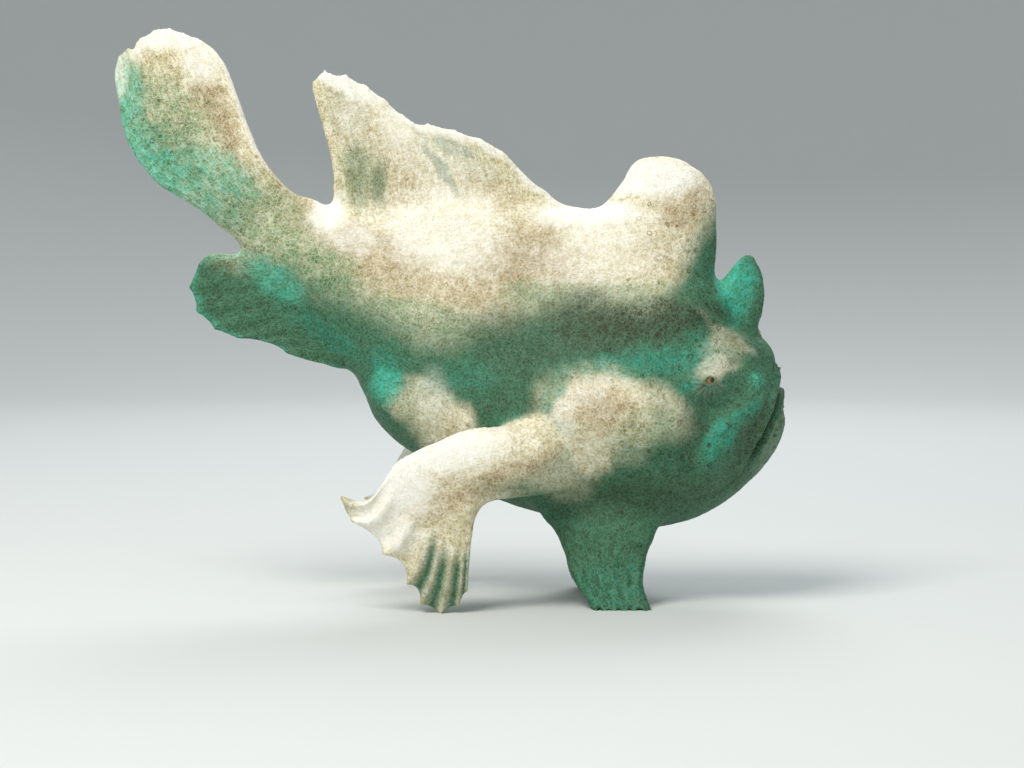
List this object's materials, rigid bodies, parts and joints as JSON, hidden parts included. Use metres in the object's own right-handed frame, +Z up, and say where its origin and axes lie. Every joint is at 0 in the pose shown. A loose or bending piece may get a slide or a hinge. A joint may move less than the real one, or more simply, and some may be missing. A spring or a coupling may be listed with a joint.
{
  "type": "frogfish",
  "caption": "Life-size giant frogfish perched still on its leg-like fins, nose down, with a raised fleshy tail, tall dorsal fin and thick head spines.",
  "frame": {"origin": "on the floor, under the middle of the fish's outline box", "axes": "+X towards the head, +Y towards the fish's left side, +Z up; the pairs of fins stand on z = 0"},
  "size_m": [0.255, 0.0904, 0.2168],
  "materials": {
    "skin": "matte pale cream skin with fine brown rings, a pink-brown bloom on the trunk and grey-green shade below",
    "lure": "matte cream, thin and slightly translucent",
    "eye": "wet gloss over a gold iris and dark pupil"
  },
  "bodies": {
    "root": {"head": "skin", "torso": "skin", "tail": "skin", "caudal_fin": "skin", "dorsal_fin": "skin", "anal_fin": "skin", "third_dorsal_spine": "skin", "second_dorsal_spine": "skin", "illicium": "lure", "pectoral_arm_right": "skin", "pectoral_fin_right": "skin", "pelvic_fin_right": "skin", "eye_right": "eye", "pectoral_arm_left": "skin", "pectoral_fin_left": "skin", "pelvic_fin_left": "skin", "eye_left": "eye"}
  },
  "joints": []
}
